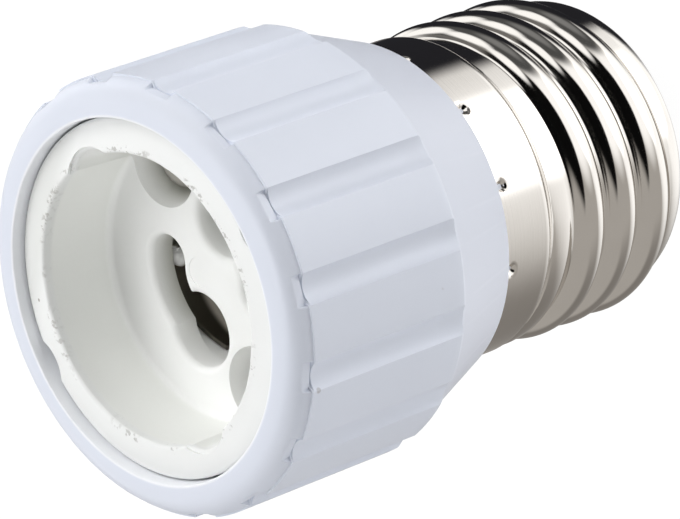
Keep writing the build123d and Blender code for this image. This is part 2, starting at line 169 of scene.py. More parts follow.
grey_wall, dim_wall, lit = (0.46, 0.44, 0.415, 1), (0.24, 0.225, 0.21, 1), grey(1.3)
studio_patches = [
    # azimuth, elevation, full within, gone beyond, colour, only where
    (-170, -15, 15, 65, dim_wall, None),  # the wall away from the lights
    (-28, -8, 22, 52, lit, None),  # the light front
    (-20, -75, 25, 58, lit, under_table),  # the white table
    (-25, -45, 8, 30, grey(3), None),  # a soft box low in front
    (48, -5, 40, 50, grey(0.09), over_table),  # the dark side
    (32, -14, 4, 20, grey(0.25), None),  # a paler gap in it
    (82, -42, 24, 36, (0.02, 0.02, 0.024, 1), None),  # the black screen behind the cap
    (75, 60, 10, 30, grey(0.05), None),  # its upper part
    (-35, 60, 44, 51, grey(0.004), None),  # the unlit room above the camera
    (-150, 35, 40, 56, grey_wall, None),  # the wall on the left
    (22, 36, 10, 19, lit, None),  # from here four patches make one slanting panel
    (50, 22, 10, 19, lit, None),
    (76, 8, 10, 19, lit, None),
    (100, -6, 10, 19, lit, None),
    (135, 84, 8, 14, grey(4), None),  # a small lamp overhead
]
studio = grey_wall
for azimuth, elevation, inner, outer, colour, only in studio_patches:
    mask = patch(view, azimuth, elevation, inner, outer)
    studio = (mask * only if only else mask).mix(studio, colour)
print("patches in the studio:", len(studio_patches))

# %% World
ambient = 0.02


def rays(value):
    """Two masks: rays that the camera sees straight or through glass, and mirrored rays."""
    straight = value.add("ShaderNodeLightPath", out="Is Camera Ray")
    outputs = straight.socket.node.outputs
    through = Value(value.tree, outputs["Is Transmission Ray"])
    mirrored = Value(value.tree, outputs["Is Glossy Ray"])
    return value.maths("MAXIMUM", straight, through), mirrored


seen, mirrored = rays(view)
shown = mirrored.mix(seen.mix(grey(ambient), grey(1)), studio)
backdrop = view.add("ShaderNodeBackground", sockets={"Color": shown, "Strength": 1.0})
view.add("ShaderNodeOutputWorld", sockets={"Surface": backdrop})
bpy.context.scene.world = world
bpy.context.scene.view_settings.view_transform = "Standard"
print("ambient light:", ambient)

# %% [markdown]
# The ground is a plain white floor under the contact tip. To the camera most of its white is a glow, so
# that it merges with the backdrop, and the rest is paint that keeps the shadow of the adapter.

# %% Floor
floor_radius, shadow_share, glow_level = 3000, 0.12, 1.09


def new_tree(name):
    """A material with an empty node tree."""
    material = bpy.data.materials.new(name)
    material.use_nodes = True
    material.node_tree.nodes.clear()
    return material


def new_object(name, bm, material):
    """Put a bmesh that was drawn in millimetres into the scene, in metres."""
    bmesh.ops.scale(bm, vec=(MM, MM, MM), verts=bm.verts)
    mesh = bpy.data.meshes.new(name)
    bm.to_mesh(mesh)
    bm.free()
    obj = bpy.data.objects.new(name, mesh)
    obj.data.materials.append(material)
    bpy.context.scene.collection.objects.link(obj)
    return obj


floor_white = new_tree("floor_white")
paint = Value(floor_white.node_tree).add("ShaderNodeBsdfDiffuse", sockets={"Color": grey(0.9)})
glow = paint.add("ShaderNodeEmission", sockets={"Color": grey(1), "Strength": glow_level})
seen, _ = rays(paint)
both = paint.add("ShaderNodeMixShader", sockets={0: seen * (1 - shadow_share), 1: paint, 2: glow})
paint.add("ShaderNodeOutputMaterial", sockets={"Surface": both})

bm = bmesh.new()
bmesh.ops.create_circle(bm, cap_ends=True, segments=64, radius=floor_radius)
floor = new_object("floor", bm, floor_white)
floor.visible_glossy = False
floor.visible_shadow = False
print("floor made:", floor.name)

# %% [markdown]
# The light is a set of soft boxes around the adapter. Each looks at its middle and gives a plain level of
# light, so that a colour comes out about as written. Two of them stand below the floor, which casts no
# shadow, and do what light thrown back by a white table does. Reflections don't show the boxes, because the
# painted studio has that job.

# %% Soft boxes
middle, box_size, box_distance = Vector((0, 0, 30 * MM)), 0.5, 0.7
soft_boxes = {
    # azimuth, elevation, power
    "box_top": (90, 62, 1.95),
    "box_crown": (60, 35, 2.1),
    "box_above": (30, 35, 1.1),
    "box_front": (-60, 35, 1.15),
    "box_left": (-150, 35, 1.65),
    "box_far": (160, 15, 1.5),
    "box_low_side": (-90, -50, 0.75),
    "box_low_front": (-25, -45, 2.0),
}
for name, (azimuth, elevation, power) in soft_boxes.items():
    light = bpy.data.lights.new(name, "AREA")
    light.shape = "DISK"
    light.size = box_size
    light.energy = power
    lamp = bpy.data.objects.new(name, light)
    away = direction(azimuth, elevation) * box_distance
    lamp_turn = away.to_track_quat("Z", "Y").to_matrix().to_4x4()
    lamp.matrix_world = Matrix.Translation(middle + away) @ lamp_turn
    lamp.visible_glossy = False
    bpy.context.scene.collection.objects.link(lamp)

# %% [markdown]
# The housing is one moulding with a rounded rim, a fluted barrel, a collar that tapers to the cap and a
# spigot inside the cap. Like most pieces here it is a turned shape, so it starts as a profile: a few
# corners in the plane of the radius and the height, rounded with a vertex bevel where an edge is soft. The
# rim is one arc that meets the mouth and the parting line at two given slopes. Spinning a single point
# draws it.

# %% Housing profile
def draw_profile(bm, corners, closed):
    """Join corners of radius, height and rounding into a wire, and round the corners."""
    verts = [bm.verts.new((radius, 0, height)) for radius, height, _ in corners]
    ends = verts[1:] + verts[:1] if closed else verts[1:]
    for start, end in zip(verts, ends):
        bm.edges.new((start, end))
    for vert, (_, _, rounding) in zip(verts, corners):
        if rounding:
            bmesh.ops.bevel(
                bm, geom=[vert], offset=rounding, segments=4, profile=0.5, affect="VERTICES", material=-1
            )


def merge(bm, distance=1e-4):
    bmesh.ops.remove_doubles(bm, verts=bm.verts, dist=distance)


barrel, base, bore, neck, collar_over_neck = 17.2, 16.75, 14.2, 12.9, 0.95
parting, parting_step, shoulder, collar_end = 50.4, 0.15, 34.6, 26.6
spigot, spigot_end, seat, seat_edge, cavity = 12.55, 21.6, 35.0, 12.4, 10.9
rim_flat, rim_slope, rim_lean, rim_steps = 0.4, 8, 14, 14

slant = tan(radians(rim_slope))
run = cos(radians(rim_lean)) - sin(radians(rim_slope))
drop = cos(radians(rim_slope)) - sin(radians(rim_lean))
rim_width = barrel - parting_step - bore - rim_flat
rim_radius = (mouth - parting - rim_width * slant) / (drop - run * slant)
rim_end = Vector((barrel - parting_step, 0, parting))
rim_center = rim_end - rim_radius * Vector((cos(radians(rim_lean)), 0, sin(radians(rim_lean))))

bm = bmesh.new()
bmesh.ops.spin(
    bm,
    geom=[bm.verts.new(rim_end)],
    cent=rim_center,
    axis=(0, 1, 0),
    angle=radians(rim_lean + rim_slope - 90),
    steps=rim_steps,
)
rim_start = max(bm.verts, key=lambda vert: vert.co.z).co.copy()
merge(bm)

slit_height, row_gap = 0.14, 0.01
slit_rows = [parting - slit_height + row_gap, parting - slit_height - row_gap, parting - 0.4]
run_out_rows = [shoulder + 2.6, shoulder + 1.6, shoulder + 0.9]
housing_corners = [
    (barrel - parting_step, parting, 0),
    (barrel, parting, 0.05),
    *[(barrel, row, 0) for row in slit_rows + run_out_rows],
    (barrel, shoulder, 0.4),
    (base, shoulder, 0),
    (neck + collar_over_neck, collar_end, 0.2),
    (spigot, collar_end, 0),
    (spigot, spigot_end, 0.3),
    (cavity, spigot_end, 0),
    (cavity, collar_end, 0),
    (seat_edge, seat, 0),
    (bore, seat, 0),
    (bore, mouth, 0.12),
    (bore + rim_flat, mouth, 0),
    (rim_start.x, rim_start.z, 0),
]
draw_profile(bm, housing_corners, closed=False)
merge(bm)
print("housing profile points:", len(bm.verts), "rim radius:", round(rim_radius, 2))

# %% [markdown]
# The barrel has sixteen narrow channels between wide lands. One sixteenth is spun in steps of uneven width,
# fine at the channel and coarse on the land, and then copied round. That puts the points where the next
# step needs them.

# %% Housing barrel
def whole(bm):
    return bm.verts[:] + bm.edges[:] + bm.faces[:]


def spin_upright(bm, geom, angle, steps, center=(0, 0, 0), **more):
    """Spin about an upright axis by an angle in degrees."""
    return bmesh.ops.spin(
        bm, geom=geom, cent=center, axis=(0, 0, 1), angle=radians(angle), steps=steps, **more
    )


channel_count, notch_edge = 16, 4.16
sector = 360 / channel_count
in_channel = [0, 0.6, 1.2, 1.8, 2.3, 2.8, 3.2, 3.5, 3.75, 3.9, 4.0, 4.08, notch_edge]
half = in_channel + [4.3, 4.6, 5.5, 7, 9, sector / 2]
columns = [-angle for angle in reversed(half)] + half[1:]

reach = whole(bm)
for start, end in zip(columns, columns[1:]):
    reach = spin_upright(bm, reach, end - start, 1)["geom_last"]
copies = channel_count - 1
spin_upright(bm, whole(bm), sector * copies, copies, use_duplicate=True)
merge(bm)
print("columns in a sixteenth:", len(columns), "barrel points:", len(bm.verts))

# %% [markdown]
# A channel is a round groove, so the points in it are pushed in to an arc, which needs no bevel. The groove
# gets shallower towards the shoulder, where it runs out, and has a fine slit at the parting line. In front
# of that line it goes on as a flat notch in the rim, with soft sides.

# %% Housing channels
channel_depth, channel_half, run_out = 0.6, 1.22, 2.0
notch_floor, notch_side, slit_depth, hair = 16.65, 0.18, 0.35, 1e-3
channel_round = (channel_half**2 + channel_depth**2) / (2 * channel_depth)
left_at_shoulder = (barrel - base) / channel_depth


def eased(share, soft):
    """A ramp from 0 to 1 whose two corners are rounded over soft."""
    if share <= -soft:
        return 0
    if share >= 1 + soft:
        return 1
    if share < soft:
        return (share + soft) ** 2 / (4 * soft)
    if share > 1 - soft:
        return 1 - (1 + soft - share) ** 2 / (4 * soft)
    return share


def channel(off):
    """Depth of a channel, a round groove, at an angle from its middle."""
    off = radians(off) * barrel
    if off >= channel_half:
        return 0
    return channel_depth - channel_round + sqrt(channel_round**2 - off**2)


def to_radius(vert, radius):
    """Move a point straight in or out to a distance from the axis."""
    share = radius / hypot(vert.co.x, vert.co.y)
    vert.co.x *= share
    vert.co.y *= share


def weld(bm, distance=1e-4):
    """Merge what coincides, drop what has no area and turn the faces outwards."""
    merge(bm, distance)
    bmesh.ops.dissolve_degenerate(bm, edges=bm.edges, dist=distance)
    bmesh.ops.recalc_face_normals(bm, faces=bm.faces)


for vert in bm.verts:
    radius, height = hypot(vert.co.x, vert.co.y), vert.co.z
    off = abs((degrees(atan2(vert.co.y, vert.co.x)) % sector) - sector / 2)
    if height >= parting - hair and notch_floor < radius < barrel - 0.1:
        notch = eased((notch_edge - off) / notch_side, 0.3)
        to_radius(vert, radius + (min(radius, notch_floor / cos(radians(off))) - radius) * notch)
    elif radius > base + hair and height > shoulder - hair:
        deep = left_at_shoulder + eased((height - shoulder) / run_out, 0.3) * (1 - left_at_shoulder)
        wanted = min(radius, barrel - channel(off) * deep)
        if height > parting - slit_height:
            wanted -= slit_depth * channel(off) / channel_depth
        to_radius(vert, wanted)
weld(bm)
print("housing faces:", len(bm.faces), "open edges:", sum(edge.is_boundary for edge in bm.edges))

# %% [markdown]
# Inside the housing two ribbed bosses take the fixing screws. They are plain solids joined on with a
# Boolean, and the screw holes are cut with another. Both bosses, like both keyholes, are half a turn apart,
# so each shape is made once and copied round the axis.

# %% Housing bosses
def spin_round(bm, columns, center=(0, 0, 0)):
    """Spin the wire in bm once round an upright axis and close the seam and the poles."""
    spin_upright(bm, whole(bm), 360, columns, center, use_merge=True)
    weld(bm)


def spun_solid(corners, columns, center):
    """A turned solid on an upright axis through center, as a bmesh in millimetres."""
    shape = bmesh.new()
    moved = [(center[0] + radius, height, rounding) for radius, height, rounding in corners]
    draw_profile(shape, moved, closed=False)
    bmesh.ops.translate(shape, vec=(0, center[1], 0), verts=shape.verts)
    spin_round(shape, columns, (center[0], center[1], 0))
    return shape


def cylinder(radius, low, high, columns, center, low_round=0, high_round=0):
    corners = [(0, low, 0), (radius, low, low_round), (radius, high, high_round), (0, high, 0)]
    return spun_solid(corners, columns, center)


def twice(shape):
    """Add a copy turned by half a turn about the axis."""
    spin_upright(shape, whole(shape), 180, 1, use_duplicate=True)
    return shape


def turn_upright(shape, angle):
    """Turn a whole shape about the axis by an angle in degrees."""
    turning = Matrix.Rotation(radians(angle), 3, "Z")
    bmesh.ops.rotate(shape, verts=shape.verts, cent=(0, 0, 0), matrix=turning)


def carve(bm, shape, operation="DIFFERENCE"):
    """Apply a Boolean with another shape to bm."""
    body, tool = bpy.data.meshes.new("body"), bpy.data.meshes.new("tool")
    bm.to_mesh(body)
    shape.to_mesh(tool)
    shape.free()
    body_object, tool_object = bpy.data.objects.new("body", body), bpy.data.objects.new("tool", tool)
    for obj in (body_object, tool_object):
        bpy.context.scene.collection.objects.link(obj)
    modifier = body_object.modifiers.new("carve", "BOOLEAN")
    modifier.object, modifier.operation, modifier.solver = tool_object, operation, "EXACT"
    carved = body_object.evaluated_get(bpy.context.evaluated_depsgraph_get()).to_mesh()
    bm.clear()
    bm.from_mesh(carved)
    for mesh in (body, tool):
        bpy.data.meshes.remove(mesh)


def polar(radius, angle):
    return (radius * cos(radians(angle)), radius * sin(radians(angle)))


screw_circle, screw_angle, screw_hole, hole_low = 9.15, 50, 1.35, 20
boss_radius, boss_length, boss_round, rib_length, rib_width, rib_sink = 2.7, 8.0, 0.3, 3.8, 2.4, 0.05
screw_at = polar(screw_circle, screw_angle)

boss = cylinder(boss_radius, seat - boss_length, seat, 32, screw_at, low_round=boss_round)
carve(bm, twice(boss), "UNION")
rib = bmesh.new()
bmesh.ops.create_cube(rib, size=1)
bmesh.ops.scale(rib, vec=(rib_length, rib_width, boss_length), verts=rib.verts)
rib_place = (screw_circle + rib_length / 2, 0, seat - boss_length / 2 - rib_sink)
bmesh.ops.translate(rib, vec=rib_place, verts=rib.verts)
turn_upright(rib, screw_angle)
carve(bm, twice(rib), "UNION")
carve(bm, twice(cylinder(screw_hole, hole_low, seat + 1, 24, screw_at)))
print("housing faces with bosses:", len(bm.faces))

# %% [markdown]
# Two keys on the inner wall stop the ceramic turning. A key is the side of an upright cylinder that bulges
# through the wall, so a cylinder is trimmed to end inside the wall and then joined on.

# %% Housing keys
ceramic_radius, ceramic_base, key_top, wall_middle = 14.05, 36.0, 49.4, 15.4
key_angle, key_width, key_depth, key_gap, key_soft = 142.6, 3.9, 0.95, 0.15, 0.3
key_round = (key_width**2 / 4 + key_depth**2) / (2 * key_depth)
key_at = polar(ceramic_radius - key_depth + key_round, key_angle)

key = cylinder(key_round - key_gap, ceramic_base, key_top, 64, key_at, high_round=key_soft)
carve(key, cylinder(wall_middle, seat - 5, mouth - 1, 96, (0, 0)), "INTERSECT")
carve(bm, twice(key), "UNION")
print("housing faces with keys:", len(bm.faces))

# %% [markdown]
# The housing is satin moulded plastic, white with a cool cast. Its colour drifts a little, there are a few
# specks of dust, and the mould leaves a faint grain that breaks up the gloss. The collar is a trace greyer,
# as painted shade, and the edge of the mouth beside the ceramic is paler, as painted light against the shade
# of the gap. The place on the piece, as a radius and a height, tells these zones apart.

# %% Housing finish
def speckle(place, scale, size):
    """Scattered round spots: 1 in a spot and 0 around it, with size as the share of a cell."""
    sockets = {"Vector": place, "Scale": scale, "Randomness": 1}
    cell = place.add("ShaderNodeTexVoronoi", sockets=sockets, out="Distance")
    return 1 - cell.rise(size * 0.6, size)


def cloud(place, scale, detail=3):
    sockets = {"Vector": place, "Scale": scale, "Detail": detail}
    return place.add("ShaderNodeTexNoise", sockets=sockets, out="Fac")


def bumped(height, distance, strength):
    sockets = {"Height": height, "Distance": distance, "Strength": strength}
    return height.add("ShaderNodeBump", sockets=sockets)


def object_place(material):
    return Value(material.node_tree).add("ShaderNodeTexCoord", out="Object")


def axial(place):
    """The distance from the axis, the height, and the places along X and Y, in millimetres."""
    parts = place.add("ShaderNodeSeparateXYZ", sockets={"Vector": place})
    x, y, z = (Value(place.tree, socket) / MM for socket in parts.socket.node.outputs)
    return (x * x + y * y) ** 0.5, z, x, y


def band(value, low, high, soft):
    """1 between two values and 0 outside them, with soft edges."""
    return value.rise(low - soft, low + soft) * (1 - value.rise(high - soft, high + soft))


def finish(material, sockets):
    """Close a material with a Principled shader."""
    value = Value(material.node_tree)
    shader = value.add("ShaderNodeBsdfPrincipled", sockets=sockets)
    value.add("ShaderNodeOutputMaterial", sockets={"Surface": shader})
    print("finish:", material.name, "with", len(material.node_tree.nodes), "nodes")


housing_plastic = new_tree("housing_plastic")
place = object_place(housing_plastic)
radius, height, _, _ = axial(place)
drift = cloud(place, 120)
dust = speckle(place, 220, 0.06) * cloud(place, 300).rise(0.52, 0.6)
# Painted shade: the collar is made a trace greyer.
collar_painted_shade = band(height, 26.0, 34.3, 0.2)
# Painted light: the edge of the mouth beside the ceramic is made paler, against the shade of the gap.
mouth_edge_painted_light = (1 - radius.rise(14.25, 14.5)) * height.rise(48.0, 50.0)
white = drift.mix((0.715, 0.75, 0.84, 1), (0.75, 0.785, 0.87, 1))
white = collar_painted_shade.mix(white, (0.705, 0.735, 0.82, 1))
white = mouth_edge_painted_light.mix(white, (0.93, 0.945, 0.98, 1))
grain = cloud(place, 9000, 2)
finish(
    housing_plastic,
    {
        "Base Color": (dust * 0.5).mix(white, (0.35, 0.33, 0.32, 1)),
        "Roughness": 0.3 + 0.08 * drift,
        "Normal": bumped(grain, 0.00002, 0.25),
    },
)

# %% [markdown] A finished shape is shaded smoothly between its sharp edges, and weighted normals keep
# the flat lands flat.

# %% Housing in place
def dress(name, bm, material, node, sharp=38):
    """Make a finished shape a piece of the adapter, in place of its node."""
    for face in bm.faces:
        face.smooth = True
    piece = new_object(name, bm, material)
    piece.data.set_sharp_from_angle(angle=radians(sharp))
    weighted = piece.modifiers.new("weighted normals", "WEIGHTED_NORMAL")
    weighted.keep_sharp = True
    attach(piece, "root")
    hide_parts(node)
    print(piece.name, len(piece.data.polygons), "faces")
    return piece


dress("housing_moulding", bm, housing_plastic, "fluted_housing")

# %% [markdown]
# The socket is a pressed ceramic cup with a sloping rim. Its body is spun from one profile with rounded
# edges. The inner edge of the rim is a little chipped, as pressed ceramic is, so its points are moved by a
# slow and a fast noise.

# %% Ceramic body
ceramic_rim, cup, cup_floor = 51.13, 11.35, 44.6
chip_offset, chip_reach, chip_from, chip_rise = 0.15, 0.5, 50.2, 0.8
chip_slow, chip_fast, chip_down, chip_out = 0.10, 0.04, 0.7, 0.6
ceramic_corners = [
    (0, ceramic_base, 0),
    (ceramic_radius, ceramic_base, 0.2),
    (ceramic_radius, ceramic_rim - 0.1, 0.3),
    (cup, ceramic_rim + 0.3, 0.3),
    (cup, cup_floor, 0.5),
    (0, cup_floor, 0),
]
bm = bmesh.new()
draw_profile(bm, ceramic_corners, closed=False)
spin_round(bm, 300)
for vert in bm.verts:
    radius = hypot(vert.co.x, vert.co.y)
    beside = eased(1 - abs(radius - cup - chip_offset) / chip_reach, 0.2)
    near = beside * eased((vert.co.z - chip_from) / chip_rise, 0.1)
    if near:
        slow, fast = noise.noise(vert.co * 0.5), noise.noise(vert.co * 3.1)
        chip = near * (chip_slow * max(0, slow + 0.1) + chip_fast * max(0, fast))
        vert.co.z -= chip_down * chip
        to_radius(vert, radius + chip_out * chip)
print("ceramic body faces:", len(bm.faces), "open edges:", sum(edge.is_boundary for edge in bm.edges))

# %% [markdown]
# The holes that show in the ceramic have soft edges. A bevel is hard to run along the edges that a Boolean
# leaves, so the cutters flare out at the surface, as a round-over cutter does. First come the two screw
# pockets: a groove down the wall of the cup, a pit in its floor and a hole for the screw.

# %% Ceramic screw pockets
def flare(half_width, surface, top, rounding):
    """The wall of a cutter that opens out with a round just below a surface."""
    curve = []
    for angle in range(0, 91, 10):
        out, up = rounding * (1 - cos(radians(angle))), rounding * (1 - sin(radians(angle)))
        curve.append((half_width + out, surface - up, 0))
    return curve + [(half_width + rounding, top, 0)]


pocket, pocket_soft, pit_top, pit_bottom, pit_floor, pit_hole = 2.9, 0.3, 3.3, 2.45, 41.6, 1.6
under, over = 35, 53.0

pocket_wall = [(0, under, 0), (pit_hole, under, 0), (pit_hole, pit_floor, 0)]
pocket_wall += [(pit_bottom, pit_floor, 0.3), (pit_top, cup_floor, 0)]
pocket_wall += flare(pocket, ceramic_rim, over, pocket_soft) + [(0, over, 0)]
carve(bm, twice(spun_solid(pocket_wall, 72, screw_at)))
print("ceramic faces with pockets:", len(bm.faces))

# %% [markdown]
# A keyhole is a round entry for the head of a pin and a slot that leads away from it on the circle of the
# pins, so that the lamp locks with a twist. The entry and the end of the slot are turned cutters. The slot
# between them is a section swept about the axis. Below the floor a wider chamber of the same plan holds the
# spring.

# %% Ceramic keyholes
pin_radius, entry, slot_half, slot_sweep, keyhole_soft = 5.0, 2.97, 1.8, 75, 0.55
chamber_half, chamber_roof = 3.1, 42.3
low, high = chamber_roof - 1.0, cup_floor + 1
slot_end = polar(pin_radius, -slot_sweep)


def swept_slot(wall):
    """A cutter with the same wall on both sides, swept round the axis on the circle of the pins."""
    shape = bmesh.new()
    outer = [(pin_radius + radius, height, 0) for radius, height, _ in wall]
    inner = [(pin_radius - radius, height, 0) for radius, height, _ in reversed(wall)]
    draw_profile(shape, outer + inner, closed=True)
    bmesh.ops.contextual_create(shape, geom=shape.edges[:])
    spin_upright(shape, whole(shape), -slot_sweep, 40)
    weld(shape)
    return shape


entry_wall = [(entry, low, 0)] + flare(entry, cup_floor, high, keyhole_soft)
slot_wall = [(slot_half, low, 0)] + flare(slot_half, cup_floor, high, keyhole_soft)
carve(bm, twice(spun_solid([(0, low, 0)] + entry_wall + [(0, high, 0)], 72, (pin_radius, 0))))
carve(bm, twice(spun_solid([(0, low, 0)] + slot_wall + [(0, high, 0)], 48, slot_end)))
carve(bm, twice(swept_slot(slot_wall)))

chamber_low = ceramic_base - 0.5
carve(bm, twice(swept_slot([(chamber_half, chamber_low, 0), (chamber_half, chamber_roof, 0)])))
for end in ((pin_radius, 0), slot_end):
    carve(bm, twice(cylinder(chamber_half, chamber_low, chamber_roof, 48, end)))
print("ceramic faces with keyholes:", len(bm.faces))

# %% [markdown]
# Two keyways in the outer wall fit over the keys of the housing. The press also leaves a shallow round mark
# on the floor of the cup, where a pin pushed the piece out of its mould.

# %% Ceramic keyways and pin mark
mark_radius, mark_flare, mark_depth, mark_at = 1.2, 0.05, 0.05, (-0.35, 1.2)
mark_low, mark_high = cup_floor - mark_depth, cup_floor + 0.5
carve(bm, twice(cylinder(key_round, under, over, 64, key_at)))
pin_mark = [(0, mark_low, 0), (mark_radius, mark_low, 0)]
pin_mark += [(mark_radius + mark_flare, mark_high, 0), (0, mark_high, 0)]
carve(bm, spun_solid(pin_mark, 48, mark_at))
weld(bm)
print("ceramic faces:", len(bm.faces), "open edges:", sum(edge.is_boundary for edge in bm.edges))

# %% [markdown]
# The ceramic is matte and warm next to the plastic. Fine pores and a slow change of tone keep it from
# looking like plaster, and a few dark specks were fired into it. The rim is a trace darker than the floor,
# and the wall of the cup is a trace darker too, as painted shade. One side of the rim and the pit on that
# side are darker still, also painted shade, and grit has settled in the chipped edge.

# %% Ceramic finish
ceramic_white = new_tree("ceramic_white")
place = object_place(ceramic_white)
radius, height, _, y = axial(place)
tone = cloud(place, 200)
pores = speckle(place, 900, 0.12)
fired = speckle(place, 260, 0.05) * cloud(place, 500).rise(0.5, 0.58)
rim = height.rise(50.3, 50.8)
# Painted shade: the wall of the cup is made a trace darker.
cup_wall_painted_shade = band(radius, 11.2, 11.8, 0.15) * band(height, 45.0, 50.6, 0.3)
# Painted shade: the rim on one side is made darker.
far_rim_painted_shade = y.rise(9.8, 12.0) * rim
# Painted shade: the first screw pit is made dark olive, darkest deep below the floor.
recess_painted_shade = (1 - height.rise(41.6, 44.4)) * y.rise(1.0, 4.0)
chipped_edge = band(radius, 11.4, 11.95, 0.12) * height.rise(50.3, 50.9)
grit = chipped_edge * cloud(place, 2600, 3).rise(0.53, 0.63) * cloud(place, 260, 2).rise(0.45, 0.58)

shade = tone.mix((0.90, 0.905, 0.89, 1), (0.94, 0.945, 0.935, 1))
# The wall of the cup, the far side of the rim and the first pit are laid on here as painted shade.
for mask, share, colour in (
    (rim, 0.8, (0.84, 0.85, 0.84, 1)),
    (cup_wall_painted_shade, 0.8, (0.85, 0.86, 0.83, 1)),
    (far_rim_painted_shade, 0.8, (0.73, 0.74, 0.72, 1)),
    (recess_painted_shade, 0.85, (0.47, 0.47, 0.40, 1)),
    (grit, 0.55, (0.30, 0.29, 0.26, 1)),
    (fired, 0.7, (0.25, 0.22, 0.18, 1)),
):
    shade = (mask * share).mix(shade, colour)
finish(
    ceramic_white,
    {
        "Base Color": shade,
        "Roughness": 0.6 + 0.15 * tone,
        "Normal": bumped(cloud(place, 4000, 3) - 0.4 * pores, 0.00004, 0.3),
    },
)
dress("ceramic_cup", bm, ceramic_white, "ceramic_socket", 35)

# %% [markdown]
# The screw cap is rolled from thin sheet. One turn of the thread is a wave of two arcs, a wide one on the
# crest and a tight one in the root. Spun about the axis with a rise of one pitch for each turn, the wave
# sweeps out the whole helix, and the turns are welded where they meet. Towards both ends the wave is
# flattened to a plain radius, where the real thread runs out, and the sheet is cut off level.

# %% Thread
pitch, plain, root, crest, crest_share = 3.629, 12.2, 12.0, 1.1, 0.8
first_crest, first_angle, full_turns, fade = 7.707, 185, 3.0, 0.32
end_round_top, root_top = 6.6, 20.2
lead_in, turns, steps_per_turn, wave_points, turn_gap, cut_gap = 1, 6, 160, 40, 1e-3, 5e-3
both_arcs = (pitch**2 / 4 + crest**2) / (2 * crest)
knuckle, hollow = both_arcs * crest_share, both_arcs * (1 - crest_share)


def ridge(off):
    """Height of the wave at a distance from its crest."""
    off = abs(off)
    if off < crest_share * pitch / 2:
        return crest - knuckle + sqrt(knuckle**2 - off**2)
    return hollow - sqrt(hollow**2 - (pitch / 2 - off) ** 2)


bm = bmesh.new()
start_height = first_crest - lead_in * pitch
wave = [pitch * (k / wave_points - 0.5) for k in range(wave_points + 1)]
draw_profile(bm, [(root + ridge(off), start_height + off, 0) for off in wave], closed=False)
turn_upright(bm, first_angle - 360 * lead_in)
climb = (0, 0, pitch / steps_per_turn)
spin_upright(bm, whole(bm), 360 * turns, turns * steps_per_turn, dvec=climb)
merge(bm, turn_gap)
for vert in bm.verts:
    share = (degrees(atan2(vert.co.y, vert.co.x)) - first_angle) / 360
    turn = share + round((vert.co.z - first_crest) / pitch - share)
    kept = eased((turn + fade) / fade, 0.2) * eased((full_turns + fade - turn) / fade, 0.2)
    to_radius(vert, plain + (hypot(vert.co.x, vert.co.y) - plain) * kept)
for height, normal in ((end_round_top, -1), (root_top, 1)):
    bmesh.ops.bisect_plane(
        bm, geom=whole(bm), dist=1e-4, plane_co=(0, 0, height), plane_no=(0, 0, normal), clear_outer=True
    )
merge(bm, cut_gap)
print("thread faces:", len(bm.faces))

# %% [markdown]
# Below the thread the sheet turns in over a round end. Above it a short cone leads to the plain neck. Both
# are drawn out of the thread's open edges, ring by ring, so their columns run on from those of the thread
# and the reflections flow over the joint.

# %% Round end and cone
end_round, cap_mouth, cap_end = 2.4, 8.6, 4.2
cone_top, cone_steps, cone_step = neck - 0.04, 8, 0.12


def open_edges(bm, height):
    """The open edges at a height."""
    return [e for e in bm.edges if e.is_boundary and all(abs(v.co.z - height) < 0.02 for v in e.verts)]


def draw_out(bm, ring, curve):
    """Extrude a ring of edges through a list of radius and height, and give back the last ring."""
    for radius, height in curve:
        pulled = bmesh.ops.extrude_edge_only(bm, edges=ring)["geom"]
        ring = [part for part in pulled if isinstance(part, bmesh.types.BMEdge)]
        for vert in {v for e in ring for v in e.verts}:
            to_radius(vert, radius)
            vert.co.z = height
    return ring


end_curve = []
for angle in range(10, 91, 10):
    inward, down = end_round * (1 - cos(radians(angle))), end_round * sin(radians(angle))
    end_curve.append((plain - inward, end_round_top - down))
cone_curve = []
for k in range(1, cone_steps + 1):
    cone_curve.append((plain + (cone_top - plain) * eased(k / cone_steps, 0.3), root_top + cone_step * k))
draw_out(bm, open_edges(bm, end_round_top), end_curve + [(cap_mouth, cap_end)])
cone_ring = draw_out(bm, open_edges(bm, root_top), cone_curve)
print("cap faces with its end and cone:", len(bm.faces))

# %% [markdown]
# The neck is punched in twelve places to grip the housing. It is spun on its own, with rows and columns
# fine enough for the dents, and the points in a dent are pushed in. A narrow bridge then closes the gap to
# the cone.

# %% Neck and dents
neck_end, neck_lip, neck_gap = 21.2, 0.03, 0.03
dent_count, dent_first, dent_height, dent_radius, dent_depth = 12, 10, 25.35, 0.5, 0.42
dent_sector = 360 / dent_count


def join(bm, other):
    """Move another bmesh into bm."""
    mesh = bpy.data.meshes.new("joined")
    other.to_mesh(mesh)
    other.free()
    bm.from_mesh(mesh)
    bpy.data.meshes.remove(mesh)


plain_rows = [neck_end + 0.12, neck_end + 0.4, 22.4, 23.4, 24.2]
dent_rows = [24.4 + 0.1 * k for k in range(17)]
neck_corners = [(neck - neck_lip, neck_end, 0)]
neck_corners += [(neck, row, 0) for row in plain_rows + dent_rows + [26.3, collar_end - neck_gap]]
neck_mesh = bmesh.new()
draw_profile(neck_mesh, neck_corners, closed=False)
spin_round(neck_mesh, 480)
for vert in neck_mesh.verts:
    angle = degrees(atan2(vert.co.y, vert.co.x))
    around = (angle - dent_first + dent_sector / 2) % dent_sector - dent_sector / 2
    off = hypot(radians(around) * neck, vert.co.z - dent_height)
    pushed = dent_depth * eased((dent_radius - off) / (0.6 * dent_radius), 0.3)
    to_radius(vert, hypot(vert.co.x, vert.co.y) - pushed)
join(bm, neck_mesh)
bmesh.ops.bridge_loops(bm, edges=cone_ring + open_edges(bm, neck_end))
bmesh.ops.recalc_face_normals(bm, faces=bm.faces)
print("cap faces:", len(bm.faces), "open edges:", sum(edge.is_boundary for edge in bm.edges))

# %% [markdown]
# The sheet gets its thickness from a Solidify modifier that grows inwards, so the outside stays where the
# frame has it. The plating is bright nickel, a little warm, with fine lines round the axis from the
# rolling.

